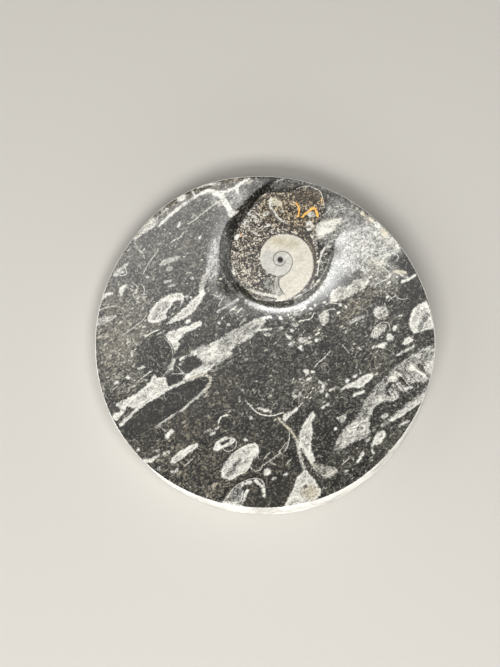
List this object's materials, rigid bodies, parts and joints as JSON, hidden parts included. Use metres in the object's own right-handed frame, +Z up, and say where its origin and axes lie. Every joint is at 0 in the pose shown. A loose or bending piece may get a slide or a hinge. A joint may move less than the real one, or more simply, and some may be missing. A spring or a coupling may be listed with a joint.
{
  "type": "round fossil plate",
  "caption": "Round hand-cut plate of black fossil limestone, polished and dished on top, with a coiled ammonite standing proud of the dish; rests on its flat sawn underside.",
  "frame": {"origin": "middle of the bounding box of the flat underside", "axes": "+Z up out of the polished face, +Y from the middle of the plate towards the ammonite, +X to the right when the plate is seen from above with the ammonite at the top"},
  "size_m": [0.1206, 0.1206, 0.0161],
  "materials": {
    "polished_fossil_limestone": "black limestone full of white calcite shells, polished to a soft shine on the dished top, rough ground and pale on the side wall, sawn on the underside"
  },
  "bodies": {
    "root": {"fossil_plate": "polished_fossil_limestone"}
  },
  "joints": []
}
